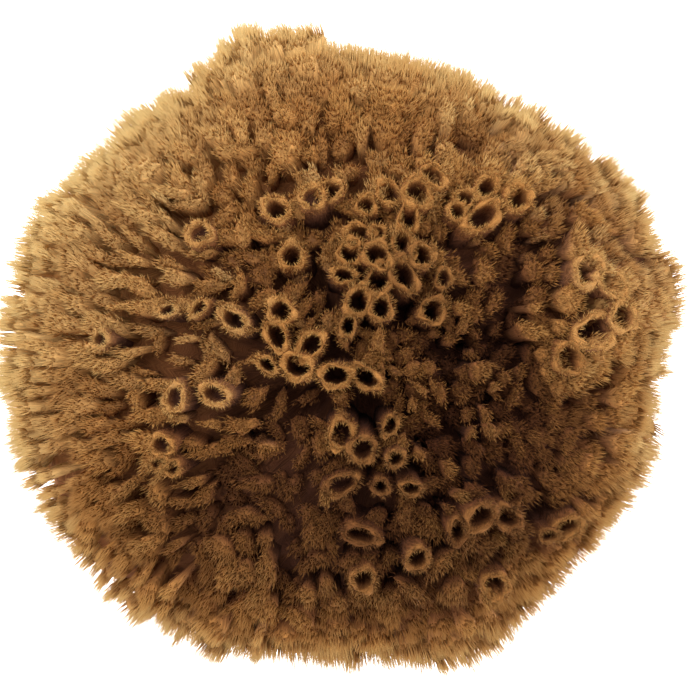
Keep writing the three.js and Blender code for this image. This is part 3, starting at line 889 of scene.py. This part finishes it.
fibre_count = tuft_radius ** 2 * np.where(tuft_tip[:, 2] > WAIST_HEIGHT, DOME_FIBRES, SIDE_FIBRES)
fibre_count = np.round(fibre_count * np.where(tuft_sprig, SPRIG_FIBRES, 1.0)).astype(int)
downwards = np.argsort(-tuft_tip[:, 2])
fibre_tuft = np.repeat(downwards, fibre_count[downwards])
for fibre_name, chosen in zip(
        ("crown_fibres", "shoulder_fibres", "waist_fibres", "skirt_fibres"),
        np.array_split(fibre_tuft, 4)):
    add_piece(fibre_name, *tuft_fibres(chosen), fibre)


# The rim fibres: the same springy fibre at the mouths of the tubes. It grew round each mouth like
# the petals of a daisy, and along the tube's sides.

# how many fibres a tube has for each millimetre of its radius, and the share along its sides
TUBE_FIBRES = 135
RIM_FLANK_SHARE = 0.6
# where they start: across the rim, or down the sides
RIM_ACROSS = (0.62, 1.0)
RIM_MIDDLE = 0.82
RIM_SET = 0.7
RIM_DOWN = 1.0
RIM_DEPTH = 10.0
# which way they point
RIM_SPLAY = 7.0
RIM_LEAN = 0.5
RIM_STRAY = 0.2
# how long and thick they are, and how light at the tip
RIM_ROOT = 0.5
RIM_SIDE_LENGTH = (1.2, 2.4)
RIM_END_LENGTH = (0.5, 1.1)
RIM_WIDTH_RANGE = (0.5, 1.0)
RIM_LIGHT = 0.1
rim_of = np.repeat(tube_item, np.round(TUBE_FIBRES * tube_outer).astype(int))
rim_count = len(rim_of)
rim_turn = rng.uniform(0, 2 * np.pi, rim_count)[:, None]
rim_radial = np.cos(rim_turn) * tube_one[rim_of] + np.sin(rim_turn) * tube_two[rim_of]
rim_flank = rng.random(rim_count) < RIM_FLANK_SHARE
rim_out = np.where(rim_flank, 1.0, rng.uniform(*RIM_ACROSS, rim_count))
rim_down = np.where(rim_flank, RIM_DOWN + RIM_DEPTH * rng.random(rim_count), RIM_SET)
rim_start = (tube_mouth[rim_of] + rim_radial * rim_out[:, None]
             - tube_axis[rim_of] * rim_down[:, None])
rim_lean = np.where(rim_flank, RIM_LEAN, RIM_SPLAY * (rim_out - RIM_MIDDLE))
rim_toward = unit(tube_axis[rim_of] + unit(rim_radial) * rim_lean[:, None]
                  + rng.normal(0, RIM_STRAY, (rim_count, 3)))
rim_length = np.where(
    rim_flank, rng.uniform(*RIM_SIDE_LENGTH, rim_count), rng.uniform(*RIM_END_LENGTH, rim_count))
# darker the further down the tube a fibre starts: partly own brown, partly painted shade
rim_low = depth_at(1 - rim_down / TUBE_LENGTH, 0.0)
add_piece("rim_fibres", *spikes(
    rim_start - rim_toward * RIM_ROOT, rim_start + rim_toward * rim_length[:, None],
    FIBRE_WIDTH * rng.uniform(*RIM_WIDTH_RANGE, rim_count), tube_tone[rim_of], np.zeros(rim_count),
    rim_low, rim_low + RIM_LIGHT), fibre)


# The stage: a white light table, soft light from the upper left, and a camera straight above.
TABLE_SIZE = 6.0
TABLE_DROP = 0.0005
TABLE_GLOW = 1.5
ROOM_LIGHT = 1.2
AIM_HEIGHT = 0.05
bpy.ops.mesh.primitive_plane_add(size=TABLE_SIZE, location=(0, 0, -TABLE_DROP))
floor = bpy.context.object
floor.name = "floor"
floor_material = bpy.data.materials.new("light_table")
floor_material.use_nodes = True
table = floor_material.node_tree.nodes["Principled BSDF"]
table.inputs["Base Color"].default_value = (0.9, 0.9, 0.9, 1)
table.inputs["Roughness"].default_value = 0.8
table.inputs["Emission Color"].default_value = (1, 1, 1, 1)
table.inputs["Emission Strength"].default_value = TABLE_GLOW
floor.data.materials.append(floor_material)

world = bpy.data.worlds.new("studio")
world.use_nodes = True
world.node_tree.nodes["Background"].inputs["Color"].default_value = (1, 1, 1, 1)
world.node_tree.nodes["Background"].inputs["Strength"].default_value = ROOM_LIGHT
bpy.context.scene.world = world


def add_softbox(name, location, size, energy):
    """A square area light that faces the sponge."""
    light = bpy.data.lights.new(name, "AREA")
    light.size = size
    light.energy = energy
    softbox = bpy.data.objects.new(name, light)
    softbox.location = location
    x, y, z = location
    softbox.rotation_euler = (np.arctan2(np.hypot(x, y), z - AIM_HEIGHT), 0, np.arctan2(x, -y))
    bpy.context.collection.objects.link(softbox)


add_softbox("key", location=(-0.45, 0.45, 1.1), size=0.8, energy=7.0)
add_softbox("fill", location=(0.7, 0.35, 0.9), size=0.9, energy=4.0)

CAMERA_HEIGHT = 1.4
VIEW_WIDTH = 0.175
SENSOR_WIDTH = 36.0
lens = bpy.data.cameras.new("camera")
lens.sensor_width = SENSOR_WIDTH
lens.lens = SENSOR_WIDTH * (CAMERA_HEIGHT - WAIST_HEIGHT * MM) / VIEW_WIDTH
camera = bpy.data.objects.new("camera", lens)
camera.location = (0, 0, CAMERA_HEIGHT)
bpy.context.collection.objects.link(camera)
bpy.context.scene.camera = camera
bpy.context.scene.view_settings.view_transform = "Standard"
